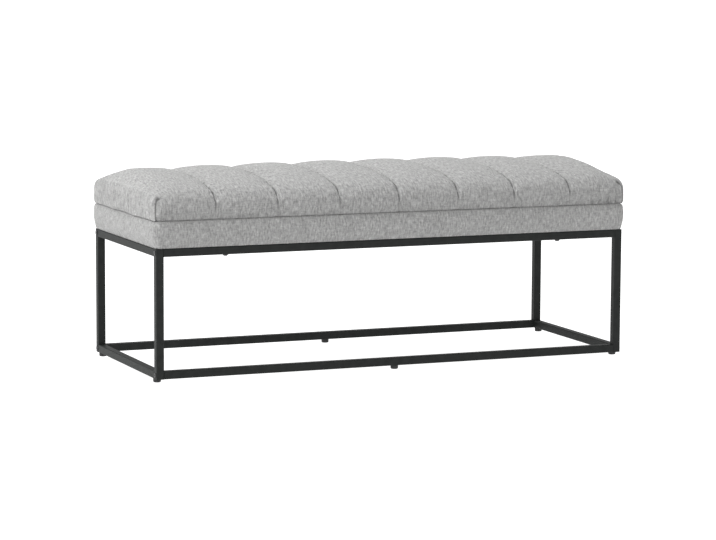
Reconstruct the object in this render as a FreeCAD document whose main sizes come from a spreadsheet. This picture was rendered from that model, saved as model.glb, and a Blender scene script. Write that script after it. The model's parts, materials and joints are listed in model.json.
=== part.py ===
import FreeCAD, Part

import math
import os
import re

import Sketcher

from FreeCAD import Placement, Rotation, Vector

# An upholstered bench: a square-tube frame that bolts together, on six screw-in
# feet, under a boxed seat whose cover is sewn in channels from front to rear.
# Millimetres, +X to the right, +Y to the rear, +Z up. The origin is on the floor
# below the middle of the bench.

# Sizes, in millimetres, each with what it measures
size_table = [
    ("frame_length", 1207, "tube frame, over the legs"),
    ("frame_depth", 465, "tube frame, front face to rear face"),
    ("frame_height", 305, "tube frame, without its feet"),
    ("tube_size", 19, "square tube, over its faces"),
    ("tube_wall", 1.5, "square tube, wall"),
    ("tube_corner", 2.2, "square tube, outer corner radius"),
    ("plug_face", 1.5, "leg plug, closed end"),
    ("plug_wall", 1.5, "leg plug, skirt"),
    ("plug_depth", 5, "leg plug, over all"),
    ("push_fit", 0.1, "plug or insert to the inside of the tube, per side"),
    ("thread_size", 6, "all threads"),
    ("thread_clearance", 0.05, "shank to threaded bore, per side"),
    ("bolt_clearance", 0.3, "shank to plain hole, per side"),
    ("hex_key", 4, "socket, across flats"),
    ("frame_bolt_bite", 16, "bolt's tip past the rail's end"),
    ("frame_bolt_head", 12, "low head, diameter"),
    ("frame_bolt_rise", 1.6, "low head, height"),
    ("frame_bolt_socket", 3, "socket, depth"),
    ("rail_insert_length", 20, "threaded insert in a rail's end"),
    ("rail_insert_corner", 1.5, "threaded insert, corner radius"),
    ("foot_diameter", 18.5, "foot pad"),
    ("foot_height", 9, "foot pad, floor to frame"),
    ("foot_round", 3, "foot pad, lower edge radius"),
    ("foot_sole", 1.8, "foot pad, floor to the stem's head"),
    ("foot_gap", 6, "corner foot's centre past the leg"),
    ("stem_head", 11, "stem's head in the pad, diameter"),
    ("stem_head_rise", 2.4, "stem's head, height"),
    ("turn_clearance", 0.05, "stem's head and neck in the pad, all round"),
    ("stem_tip_gap", 1, "stem's tip below the top of the rail's bore"),
    ("stem_slot_width", 1.2, "driver slot in the stem's tip"),
    ("stem_slot_depth", 1.5, "driver slot in the stem's tip"),
    ("rivet_flange", 13, "rivet nut's flange, diameter"),
    ("rivet_flange_rise", 1, "rivet nut's flange, height"),
    ("rivet_body", 9, "rivet nut's body, diameter"),
    ("rivet_bulge", 11.4, "rivet nut's set bulge, diameter"),
    ("rivet_bulge_rise", 3.5, "rivet nut's set bulge, height"),
    ("rivet_length", 13, "rivet nut's body, above the flange"),
    ("flange_room", 0.3, "foot pad's recess round the flange"),
    ("seat_bolt_inset", 173, "seat bolt from the frame's end"),
    ("seat_bolt_bite", 9.2, "bolt's tip above the board's underside"),
    ("seat_bolt_flange", 14.5, "seat bolt's flange, diameter"),
    ("seat_bolt_flange_rise", 1.1, "seat bolt's flange, height"),
    ("seat_bolt_dome", 11, "seat bolt's dome, diameter"),
    ("seat_bolt_dome_rise", 2.8, "seat bolt's dome, height"),
    ("seat_bolt_dome_round", 2.2, "seat bolt's dome, edge radius"),
    ("seat_insert_diameter", 9.5, "threaded insert in the board"),
    ("seat_insert_length", 12, "threaded insert in the board"),
    ("dust_cover_thickness", 0.6, "woven dust cover"),
    ("dust_cover_edge", 4.5, "dust cover's edge inside the tubes' middle"),
    ("hem_thickness", 1.2, "fabric turned under the board"),
    ("hem_margin", 6, "hem's inner edge past the staples"),
    ("board_thickness", 15, "plywood"),
    ("board_inset", 1.5, "board inside the frame's outline"),
    ("board_corner", 12, "board, corner radius"),
    ("staple_gap", 6, "staples past the tubes' inner faces"),
    ("staple_corner", 37.5, "first staple from the frame's corner"),
    ("staple_pitch", 58, "between staples, at most"),
    ("staple_crown", 10, "staple, over its legs"),
    ("staple_leg", 7, "staple, leg"),
    ("staple_wire", 0.8, "staple, square wire"),
    ("seam_height", 64, "seam round the seat, above the frame"),
    ("slab_inset", 8, "firm foam inside the frame's outline"),
    ("slab_corner", 10, "firm foam, corner radius"),
    ("core_inset", 30, "soft foam inside the frame's outline"),
    ("core_height", 46, "soft foam"),
    ("soft_clearance", 0.3, "soft foam to the cover round it"),
    ("end_swell", 3.5, "channelled cover past the frame's ends"),
    ("crown_fall", 7, "channels lower at the ends than at the middle"),
    ("mitre_reach", 32, "band's mitre cut past the frame"),
    ("cut_margin", 1, "cutting shapes past what they cut"),
]
channel_count = 8

# Band round the seat: share of the way from its hem up to the seam, swell past
# the frame, corner radius
band_outline = [
    (0, -0.6, 11),
    (0.1, 2.2, 13),
    (0.37, 5.0, 16),
    (0.67, 6.4, 17),
    (0.89, 5.0, 16),
    (1, 1.8, 13),
]

# Channelled cover, from the front seam up to the middle of the depth: the sewn
# line behind the frame's front and above the seam, the rise of the channels
# from it, and the fall from an end channel's ridge to the end's flat side
cover_outline = [
    (-1.8, 0, 0.6, 11),
    (-3.4, 12, 1.6, 13),
    (-3.4, 28, 3.0, 17),
    (-0.5, 42, 5.4, 26),
    (11, 55, 8.2, 38),
    (36, 67, 10.0, 47),
    (84, 79, 11.6, 54),
    (150, 87.5, 12.6, 57),
]
cover_middle = (91, 13.2, 58)
cover_root = 60

doc = FreeCAD.newDocument("upholstered_bench")
sheet = doc.addObject("Spreadsheet::Sheet", "Sizes")
for row, (alias, number, note) in enumerate(size_table, 1):
    sheet.set(f"A{row}", note)
    sheet.set(f"B{row}", str(number))
    sheet.setAlias(f"B{row}", alias)
doc.recompute()

alias_pattern = re.compile(r"\b(" + "|".join(alias for alias, number, note in size_table) + r")\b")
nodes = []


def value(formula):
    """The number that a formula of sheet sizes comes to."""
    return float(sheet.evalExpression(formula))


def bind(target, path, formula):
    """Tie one property of an object to a formula of sheet sizes."""
    target.setExpression(path, alias_pattern.sub(r"Sizes.\1", formula))


def place(target, x="0", y="0", z="0", rotation=Rotation()):
    """Turn an object and tie its place to the sheet."""
    target.Placement = Placement(Vector(), rotation)
    bind(target, "Placement.Base.x", x)
    bind(target, "Placement.Base.y", y)
    bind(target, "Placement.Base.z", z)


# Sketches


def sketch_on(body, name, role, lift="0"):
    """A sketch on one of the body's own planes, lifted along the plane's normal."""
    sketch = body.newObject("Sketcher::SketchObject", name)
    plane = next(feature for feature in body.Origin.OriginFeatures if feature.Role == role)
    sketch.AttachmentSupport = [(plane, "")]
    sketch.MapMode = "FlatFace"
    bind(sketch, "AttachmentOffset.Base.z", lift)
    return sketch


def hold_point(sketch, shape, end, across, up):
    """Hold a point of the sketch at two formulas, measured from its origin."""
    for kind, axis, formula in (("DistanceX", -2, across), ("DistanceY", -1, up)):
        if formula == "0":
            sketch.addConstraint(Sketcher.Constraint("PointOnObject", shape, end, axis))
        else:
            index = sketch.addConstraint(Sketcher.Constraint(kind, -1, 1, shape, end, value(formula)))
            bind(sketch, f"Constraints[{index}]", formula)


def draw_polygon(sketch, corners):
    """Straight lines through corners, each a pair of formulas."""
    points = [Vector(value(across), value(up), 0) for across, up in corners]
    lines = [
        sketch.addGeometry(Part.LineSegment(start, end), False)
        for start, end in zip(points, points[1:] + points[:1])
    ]
    for line, following in zip(lines, lines[1:] + lines[:1]):
        sketch.addConstraint(Sketcher.Constraint("Coincident", line, 2, following, 1))
    for line, (across, up) in zip(lines, corners):
        hold_point(sketch, line, 1, across, up)


def draw_circle(sketch, across, up, diameter):
    circle = Part.Circle(Vector(value(across), value(up), 0), Vector(0, 0, 1), value(diameter) / 2)
    shape = sketch.addGeometry(circle, False)
    index = sketch.addConstraint(Sketcher.Constraint("Diameter", shape, value(diameter)))
    bind(sketch, f"Constraints[{index}]", diameter)
    hold_point(sketch, shape, 3, across, up)


def draw_rounded_box(sketch, width, height, radius):
    """A rectangle round the sketch's origin, with round corners."""
    half_width = value(width) / 2
    half_height = value(height) / 2
    corner = value(radius)
    sides = []
    arcs = []
    for turn in range(4):
        along, out = (half_width, half_height) if turn % 2 == 0 else (half_height, half_width)
        quarter = Rotation(Vector(0, 0, 1), 90 * turn)
        start = quarter.multVec(Vector(-along + corner, -out, 0))
        end = quarter.multVec(Vector(along - corner, -out, 0))
        centre = quarter.multVec(Vector(along - corner, -out + corner, 0))
        sides.append(sketch.addGeometry(Part.LineSegment(start, end), False))
        circle = Part.Circle(centre, Vector(0, 0, 1), corner)
        first = math.radians(90 * turn - 90)
        arcs.append(sketch.addGeometry(Part.ArcOfCircle(circle, first, first + math.pi / 2), False))
    for turn in range(4):
        sketch.addConstraint(Sketcher.Constraint("Tangent", sides[turn], 2, arcs[turn], 1))
        sketch.addConstraint(Sketcher.Constraint("Tangent", arcs[turn], 2, sides[(turn + 1) % 4], 1))
        sketch.addConstraint(Sketcher.Constraint("Vertical" if turn % 2 else "Horizontal", sides[turn]))
    for arc in arcs[1:]:
        sketch.addConstraint(Sketcher.Constraint("Equal", arcs[0], arc))
    sketch.addConstraint(Sketcher.Constraint("Symmetric", arcs[0], 3, arcs[2], 3, -1, 1))
    for constraint, formula in (
        (Sketcher.Constraint("Radius", arcs[0], corner), radius),
        (Sketcher.Constraint("DistanceX", sides[3], 1, sides[1], 1, 2 * half_width), width),
        (Sketcher.Constraint("DistanceY", sides[0], 1, sides[2], 1, 2 * half_height), height),
    ):
        index = sketch.addConstraint(constraint)
        bind(sketch, f"Constraints[{index}]", formula)


# Features


def new_body(label):
    body = doc.addObject("PartDesign::Body", label)
    body.Label = label
    return body


def pad(body, sketch, length, symmetric=False):
    feature = body.newObject("PartDesign::Pad", f"{sketch.Name}_pad")
    feature.Profile = sketch
    feature.SideType = "Symmetric" if symmetric else "One side"
    bind(feature, "Length", length)
    doc.recompute()
    return feature


def pocket(body, sketch, length=None, reverse=False):
    """Cut a sketch out of the body: right through both ways, or to a length."""
    before = body.Shape.Volume
    feature = body.newObject("PartDesign::Pocket", f"{sketch.Name}_cut")
    feature.Profile = sketch
    feature.Reversed = reverse
    if length is None:
        feature.Type = "ThroughAll"
        feature.SideType = "Symmetric"
    else:
        bind(feature, "Length", length)
    doc.recompute()
    if not body.Shape.Volume < before:
        raise ValueError(f"{sketch.Name} cuts nothing")
    return feature


def turned_body(label, corners):
    """A body turned about its Z axis from corners of radius and height."""
    body = new_body(label)
    sketch = sketch_on(body, f"{label}_profile", "XZ_Plane")
    draw_polygon(sketch, corners)
    feature = body.newObject("PartDesign::Revolution", f"{label}_turn")
    feature.Profile = sketch
    feature.ReferenceAxis = (sketch, ["V_Axis"])
    doc.recompute()
    return body


def round_edges(body, radius, is_chosen):
    """Round the edges of the body's last feature that a test picks out."""
    base = body.Tip
    picked = [f"Edge{number}" for number, edge in enumerate(base.Shape.Edges, 1) if is_chosen(edge)]
    feature = body.newObject("PartDesign::Fillet", f"{body.Name}_round")
    feature.Base = (base, picked)
    bind(feature, "Radius", radius)
    doc.recompute()


def is_circle(edge, diameter, height):
    """Whether an edge is a level circle of this diameter at this height."""
    if not isinstance(edge.Curve, Part.Circle):
        return False
    level = abs(edge.Curve.Center.z - value(height)) < 1e-6
    return level and abs(2 * edge.Curve.Radius - value(diameter)) < 1e-6


def hex_corners(flats):
    """The six corners of a hexagon, from its width across flats."""
    half = f"{flats} / 2"
    low = f"{flats} / (2 * sqrt(3))"
    tip = f"{flats} / sqrt(3)"
    return [
        ("0", f"-{tip}"),
        (half, f"-{low}"),
        (half, low),
        ("0", tip),
        (f"-{half}", low),
        (f"-{half}", f"-{low}"),
    ]


def keep(target, label=None):
    """List an object as a sub-part, under the name of its file."""
    if label:
        target.Label = label
    nodes.append(target)
    return target


def group(label, pattern, placements):
    """Copies of one piece, as separate solids of one sub-part."""
    feature = doc.addObject("Part::Feature", label)
    copies = []
    for placement in placements:
        copy = pattern.Shape.copy()
        copy.Placement = placement.multiply(copy.Placement)
        copies.append(copy)
    feature.Shape = Part.makeCompound(copies)
    return keep(feature, label)


def shape_feature(label, shape):
    feature = doc.addObject("Part::Feature", label)
    feature.Shape = shape
    return keep(feature, label)


# Named places, shared by the pieces that meet there
side_x = "(frame_length - tube_size) / 2"
side_y = "(frame_depth - tube_size) / 2"
rail_length_x = "frame_length - 2 * tube_size"
rail_length_y = "frame_depth - 2 * tube_size"
rail_rise = "(frame_height - tube_size) / 2"
frame_middle = "foot_height + frame_height / 2"
frame_top = value("foot_height + frame_height")
bore = "tube_size - 2 * tube_wall"
shank = "thread_size - 2 * thread_clearance"
plain_hole = "thread_size + 2 * bolt_clearance"
corner_foot_y = "frame_depth / 2 - tube_size - foot_gap"
seat_bolt_x = "frame_length / 2 - seat_bolt_inset"
dust_cover_inset = "tube_size / 2 + dust_cover_edge"
staple_inset = "tube_size + staple_gap"
hem_inset = f"{staple_inset} + hem_margin"
board_bottom = value("foot_height + frame_height + dust_cover_thickness + hem_thickness")
ends = (("left", -1), ("right", 1))
faces = (("front", -1), ("rear", 1))
levels = (("bottom", -1), ("top", 1))


def signed(sign, formula):
    return f"-({formula})" if sign < 0 else formula


# Frame


def tube(label, role, length):
    """Square tube with round corners, centred on its origin, square to a plane."""
    body = new_body(label)
    sketch = sketch_on(body, f"{label}_section", role)
    draw_rounded_box(sketch, "tube_size", "tube_size", "tube_corner")
    draw_rounded_box(sketch, bore, bore, "tube_corner - tube_wall")
    pad(body, sketch, length, symmetric=True)
    return keep(body)


def cross_holes(body, role, centres):
    """Plain bolt holes through both walls, square to a plane."""
    sketch = sketch_on(body, f"{body.Name}_bolt_holes", role)
    for across, up in centres:
        draw_circle(sketch, across, up, plain_hole)
    pocket(body, sketch)


def foot_holes(body, centres):
    """Holes for rivet nuts, in the bottom wall only."""
    sketch = sketch_on(body, f"{body.Name}_foot_holes", "XY_Plane")
    for across, up in centres:
        draw_circle(sketch, across, up, "rivet_body + 2 * thread_clearance")
    pocket(body, sketch, "tube_size / 2")


for face, face_sign in faces:
    for end, end_sign in ends:
        leg = tube(f"leg_{face}_{end}", "XY_Plane", "frame_height")
        cross_holes(leg, "YZ_Plane", [("0", signed(sign, rail_rise)) for level, sign in levels])
        place(leg, signed(end_sign, side_x), signed(face_sign, side_y), frame_middle)

for level, level_sign in levels:
    rail_height = f"{frame_middle} + {signed(level_sign, rail_rise)}"
    for end, end_sign in ends:
        rail = tube(f"end_rail_{level}_{end}", "XZ_Plane", rail_length_y)
        if level == "bottom":
            foot_holes(rail, [("0", signed(sign, corner_foot_y)) for face, sign in faces])
        place(rail, signed(end_sign, side_x), "0", rail_height)
    for face, face_sign in faces:
        rail = tube(f"long_rail_{level}_{face}", "YZ_Plane", rail_length_x)
        if level == "bottom":
            foot_holes(rail, [("0", "0")])
        else:
            cross_holes(rail, "XY_Plane", [(signed(sign, seat_bolt_x), "0") for end, sign in ends])
        place(rail, "0", signed(face_sign, side_y), rail_height)

# Plugs in both ends of each leg: a skirted cap with its face flush with the tube
plug = new_body("plug_pattern")
plug_outline = sketch_on(plug, "plug_outline", "XY_Plane")
plug_width = f"{bore} - 2 * push_fit"
draw_rounded_box(plug_outline, plug_width, plug_width, "tube_corner - tube_wall")
pad(plug, plug_outline, "plug_depth")
plug_hollow = sketch_on(plug, "plug_hollow", "XY_Plane", "plug_depth")
hollow_width = f"{plug_width} - 2 * plug_wall"
draw_rounded_box(plug_hollow, hollow_width, hollow_width, "tube_corner - tube_wall")
pocket(plug, plug_hollow, "plug_depth - plug_face")

leg_x = value(side_x)
leg_y = value(side_y)
upside_down = Rotation(Vector(1, 0, 0), 180)
plug_places = []
for x in (-leg_x, leg_x):
    for y in (-leg_y, leg_y):
        plug_places.append(Placement(Vector(x, y, value("foot_height")), Rotation()))
        plug_places.append(Placement(Vector(x, y, frame_top), upside_down))
group("leg_end_plugs", plug, plug_places)

# Threaded inserts in the long rails' ends, and the bolts through the legs. Both
# patterns lie along Z, the bolt's head and the insert's mouth at their origins.
insert = new_body("rail_insert_pattern")
insert_section = sketch_on(insert, "rail_insert_section", "XY_Plane")
draw_rounded_box(insert_section, plug_width, plug_width, "rail_insert_corner")
draw_circle(insert_section, "0", "0", "thread_size")
pad(insert, insert_section, "rail_insert_length")

frame_bolt_length = "tube_size + frame_bolt_bite"
frame_bolt = turned_body(
    "frame_bolt_pattern",
    [
        ("0", "-frame_bolt_rise"),
        ("frame_bolt_head / 2", "-frame_bolt_rise"),
        ("frame_bolt_head / 2", "0"),
        (f"({shank}) / 2", "0"),
        (f"({shank}) / 2", frame_bolt_length),
        ("0", frame_bolt_length),
    ],
)
round_edges(
    frame_bolt,
    "frame_bolt_rise / 2",
    lambda edge: is_circle(edge, "frame_bolt_head", "-frame_bolt_rise"),
)
frame_socket = sketch_on(frame_bolt, "frame_bolt_hex", "XY_Plane", "-frame_bolt_rise")
draw_polygon(frame_socket, hex_corners("hex_key"))
pocket(frame_bolt, frame_socket, "frame_bolt_socket", reverse=True)

bolt_places = []
insert_places = []
end_face = value("frame_length / 2")
rail_end = value(f"({rail_length_x}) / 2")
for end_sign in (-1, 1):
    inward = Rotation(Vector(0, 0, 1), Vector(-end_sign, 0, 0))
    for y in (-leg_y, leg_y):
        for sign in (-1, 1):
            z = value(f"{frame_middle} + {signed(sign, rail_rise)}")
            bolt_places.append(Placement(Vector(end_sign * end_face, y, z), inward))
            insert_places.append(Placement(Vector(end_sign * rail_end, y, z), inward))
group("rail_end_inserts", insert, insert_places)
group("frame_bolts", frame_bolt, bolt_places)

# Feet

foot_places = [
    (f"{face}_{end}", signed(end_sign, side_x), signed(face_sign, corner_foot_y))
    for face, face_sign in faces
    for end, end_sign in ends
] + [(f"{face}_middle", "0", signed(face_sign, side_y)) for face, face_sign in faces]

head_bottom = "foot_sole + turn_clearance"
head_top = f"{head_bottom} + stem_head_rise"
cavity_top = f"{head_top} + turn_clearance"
cavity_radius = "stem_head / 2 + turn_clearance"
neck_radius = "thread_size / 2 + turn_clearance"
recess_bottom = "foot_height - rivet_flange_rise - flange_room"
recess_radius = "rivet_flange / 2 + flange_room"
stem_top = "foot_height + tube_size - tube_wall - stem_tip_gap"


def foot_pad(label):
    """Moulded pad: a round foot with a closed pocket for the stem's head."""
    pad_body = turned_body(
        label,
        [
            ("0", "0"),
            ("foot_diameter / 2", "0"),
            ("foot_diameter / 2", "foot_height"),
            (recess_radius, "foot_height"),
            (recess_radius, recess_bottom),
            (neck_radius, recess_bottom),
            (neck_radius, cavity_top),
            (cavity_radius, cavity_top),
            (cavity_radius, "foot_sole"),
            ("0", "foot_sole"),
        ],
    )
    round_edges(pad_body, "foot_round", lambda edge: is_circle(edge, "foot_diameter", "0"))
    return keep(pad_body)


def foot_stem(label):
    """Threaded stem: a flat head held in the pad, a shank and a driver slot."""
    stem = turned_body(
        label,
        [
            ("0", head_bottom),
            ("stem_head / 2", head_bottom),
            ("stem_head / 2", head_top),
            (f"({shank}) / 2", head_top),
            (f"({shank}) / 2", stem_top),
            ("0", stem_top),
        ],
    )
    slot = sketch_on(stem, f"{label}_slot", "XY_Plane", stem_top)
    corner_signs = ((-1, -1), (1, -1), (1, 1), (-1, 1))
    draw_polygon(
        slot,
        [(signed(u, "thread_size / 2"), signed(v, "stem_slot_width / 2")) for u, v in corner_signs],
    )
    pocket(stem, slot, "stem_slot_depth")
    return keep(stem)


for name, x, y in foot_places:
    place(foot_pad(f"foot_pad_{name}"), x, y)
for name, x, y in foot_places:
    place(foot_stem(f"foot_stem_{name}"), x, y)

# Rivet nuts, from the underside of the rail: flange, set bulge and threaded body
rivet_nut = turned_body(
    "rivet_nut_pattern",
    [
        ("thread_size / 2", "-rivet_flange_rise"),
        ("rivet_flange / 2", "-rivet_flange_rise"),
        ("rivet_flange / 2", "0"),
        ("rivet_body / 2", "0"),
        ("rivet_body / 2", "tube_wall"),
        ("rivet_bulge / 2", "tube_wall"),
        ("rivet_body / 2", "tube_wall + rivet_bulge_rise"),
        ("rivet_body / 2", "rivet_length"),
        ("thread_size / 2", "rivet_length"),
    ],
)
group(
    "foot_nuts",
    rivet_nut,
    [
        Placement(Vector(value(x), value(y), value("foot_height")), Rotation())
        for name, x, y in foot_places
    ],
)

# Seat bolts and the inserts that they screw into

seat_bolt_length = "tube_size + dust_cover_thickness + hem_thickness + seat_bolt_bite"
dome_top = "-seat_bolt_flange_rise - seat_bolt_dome_rise"
seat_bolt = turned_body(
    "seat_bolt_pattern",
    [
        ("0", dome_top),
        ("seat_bolt_dome / 2", dome_top),
        ("seat_bolt_dome / 2", "-seat_bolt_flange_rise"),
        ("seat_bolt_flange / 2", "-seat_bolt_flange_rise"),
        ("seat_bolt_flange / 2", "0"),
        (f"({shank}) / 2", "0"),
        (f"({shank}) / 2", seat_bolt_length),
        ("0", seat_bolt_length),
    ],
)
round_edges(
    seat_bolt,
    "seat_bolt_dome_round",
    lambda edge: is_circle(edge, "seat_bolt_dome", dome_top),
)
seat_socket = sketch_on(seat_bolt, "seat_bolt_hex", "XY_Plane", dome_top)
draw_polygon(seat_socket, hex_corners("hex_key"))
pocket(seat_bolt, seat_socket, "seat_bolt_dome_rise", reverse=True)

seat_insert = turned_body(
    "seat_insert_pattern",
    [
        ("thread_size / 2", "0"),
        ("seat_insert_diameter / 2", "0"),
        ("seat_insert_diameter / 2", "seat_insert_length"),
        ("thread_size / 2", "seat_insert_length"),
    ],
)
bolt_x = value(seat_bolt_x)
seat_bolt_points = [(x, y) for x in (-bolt_x, bolt_x) for y in (-leg_y, leg_y)]
rail_underside = frame_top - value("tube_size")
group(
    "seat_bolts",
    seat_bolt,
    [Placement(Vector(x, y, rail_underside), Rotation()) for x, y in seat_bolt_points],
)
group(
    "seat_inserts",
    seat_insert,
    [Placement(Vector(x, y, board_bottom), Rotation()) for x, y in seat_bolt_points],
)

# Staples: one row along each side, crowns under the dust cover, legs in the board


def staple_row(length):
    """Even places along a row that leaves its two corners free."""
    reach = length / 2 - value("staple_corner")
    count = math.ceil(2 * reach / value("staple_pitch"))
    return [-reach + 2 * reach * number / count for number in range(count + 1)]


def staple_shape():
    """A crown along X with two legs up, its crown's top at height 0."""
    wire = value("staple_wire")
    crown = value("staple_crown")
    leg = value("staple_leg")
    bar = Part.makeBox(crown, wire, wire, Vector(-crown / 2, -wire / 2, -wire))
    left = Part.makeBox(wire, wire, leg, Vector(-crown / 2, -wire / 2, 0))
    right = Part.makeBox(wire, wire, leg, Vector(crown / 2 - wire, -wire / 2, 0))
    return bar.multiFuse([left, right]).removeSplitter()


def staple_places():
    places = []
    row_x = value(f"frame_length / 2 - ({staple_inset})")
    row_y = value(f"frame_depth / 2 - ({staple_inset})")
    along_y = Rotation(Vector(0, 0, 1), 90)
    for sign in (-1, 1):
        for x in staple_row(value("frame_length")):
            places.append(Placement(Vector(x, sign * row_y, frame_top), Rotation()))
        for y in staple_row(value("frame_depth")):
            places.append(Placement(Vector(sign * row_x, y, frame_top), along_y))
    return places


staple_pattern = doc.addObject("Part::Feature", "staple_pattern")
staple_pattern.Shape = staple_shape()
staples = group("staples", staple_pattern, staple_places())

# Flat layers: dust cover and board, each a blank that the staples pierce


def layer_blank(label, inset, corner, thickness, bottom):
    body = new_body(label)
    sketch = sketch_on(body, f"{label}_outline", "XY_Plane")
    draw_rounded_box(sketch, f"frame_length - 2 * ({inset})", f"frame_depth - 2 * ({inset})", corner)
    pad(body, sketch, thickness)
    place(body, z=bottom)
    return body


def pierced(label, blank):
    cut = doc.addObject("Part::Cut", label)
    cut.Base = blank
    cut.Tool = staples
    doc.recompute()
    return keep(cut, label)


top_of_frame = "foot_height + frame_height"
dust_blank = layer_blank(
    "dust_cover_blank", dust_cover_inset, "board_corner", "dust_cover_thickness", top_of_frame
)
pierced("dust_cover", dust_blank)

board_base = f"{top_of_frame} + dust_cover_thickness + hem_thickness"
board_blank = layer_blank("seat_board_blank", "board_inset", "board_corner", "board_thickness", board_base)
insert_holes = sketch_on(board_blank, "seat_insert_holes", "XY_Plane")
for x_sign in (-1, 1):
    for y_sign in (-1, 1):
        draw_circle(
            insert_holes,
            signed(x_sign, seat_bolt_x),
            signed(y_sign, side_y),
            "seat_insert_diameter + 2 * thread_clearance",
        )
pocket(board_blank, insert_holes)
pierced("seat_board", board_blank)

# Foam

slab_base = f"{board_base} + board_thickness"
slab = layer_blank(
    "foam_slab",
    "slab_inset",
    "slab_corner",
    "seam_height - dust_cover_thickness - hem_thickness - board_thickness",
    slab_base,
)
keep(slab)
core = layer_blank("foam_core", "core_inset", "slab_corner", "core_height", f"{top_of_frame} + seam_height")
keep(core)

# Soft covers, lofted


def rounded_wire(length, depth, radius, z):
    """A level rectangle round the Z axis, with round corners."""
    edges = []
    for turn in range(4):
        along, out = (length / 2, depth / 2) if turn % 2 == 0 else (depth / 2, length / 2)
        quarter = Rotation(Vector(0, 0, 1), 90 * turn)
        start = quarter.multVec(Vector(-along + radius, -out, z))
        end = quarter.multVec(Vector(along - radius, -out, z))
        centre = Vector(along - radius, -out + radius, z)
        diagonal = Vector(radius, -radius, 0) * math.sqrt(0.5)
        middle = quarter.multVec(centre + diagonal)
        finish = quarter.multVec(centre + Vector(radius, 0, 0))
        edges.append(Part.LineSegment(start, end).toShape())
        edges.append(Part.Arc(end, middle, finish).toShape())
    return Part.Wire(edges)


def block(inset, radius, bottom, top):
    """A solid inside the frame's outline, between two heights."""
    length = value("frame_length") - 2 * inset
    depth = value("frame_depth") - 2 * inset
    face = Part.Face(rounded_wire(length, depth, radius, bottom))
    return face.extrude(Vector(0, 0, top - bottom))


def band_ring():
    """The band and its hem, hollow round the board and the firm foam."""
    board_top = board_bottom + value("board_thickness")
    seam = frame_top + value("seam_height")
    hem = frame_top + value("dust_cover_thickness")
    below = hem - value("cut_margin")
    above = seam + value("cut_margin")
    wires = []
    for share, swell, radius in band_outline:
        length = value("frame_length") + 2 * swell
        depth = value("frame_depth") + 2 * swell
        wires.append(rounded_wire(length, depth, radius, hem + share * (seam - hem)))
    ring = Part.makeLoft(wires, True, False)
    ring = ring.cut(block(value("board_inset"), value("board_corner"), board_bottom, board_top))
    ring = ring.cut(block(value("slab_inset"), value("slab_corner"), board_top, above))
    ring = ring.cut(block(value(hem_inset), value("board_corner"), below, board_bottom))
    hole_radius = value(plain_hole) / 2
    for x, y in seat_bolt_points:
        ring = ring.cut(Part.makeCylinder(hole_radius, board_top - below, Vector(x, y, below)))
    return ring.cut(staples.Shape)


def mitre_wedge(face_along_x, sign):
    """The quarter of the plan behind one side, cut at 45 degrees from its corners."""
    reach = value("mitre_reach")
    half_x = value("frame_length") / 2 + reach
    half_y = value("frame_depth") / 2 + reach
    inner = half_x - half_y
    if face_along_x:
        outline = [(-half_x, sign * half_y), (half_x, sign * half_y), (inner, 0), (-inner, 0)]
    else:
        outline = [(sign * half_x, -half_y), (sign * half_x, half_y), (sign * inner, 0)]
    points = [Vector(x, y, frame_top - reach) for x, y in outline]
    face = Part.Face(Part.makePolygon(points + points[:1]))
    return face.extrude(Vector(0, 0, value("seam_height") + 2 * reach))


ring = band_ring()
for face, face_sign in faces:
    shape_feature(f"border_band_{face}", ring.common(mitre_wedge(True, face_sign)))
for end, end_sign in ends:
    shape_feature(f"border_band_{end}", ring.common(mitre_wedge(False, end_sign)))


def cover_stations():
    """Each section's root, sewn line, rise and end fall, from front to rear."""
    half_depth = value("frame_depth") / 2
    middle_height, middle_rise, middle_fall = cover_middle
    front = [(behind - half_depth, height, rise, fall) for behind, height, rise, fall in cover_outline]
    middle = [(0, middle_height, middle_rise, middle_fall)]
    rear = [(-y, height, rise, fall) for y, height, rise, fall in reversed(front)]
    stations = front + middle + rear
    last = len(stations) - 1
    return [
        (cover_root * (2 * number / last - 1), y, height, rise, fall)
        for number, (y, height, rise, fall) in enumerate(stations)
    ]


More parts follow.
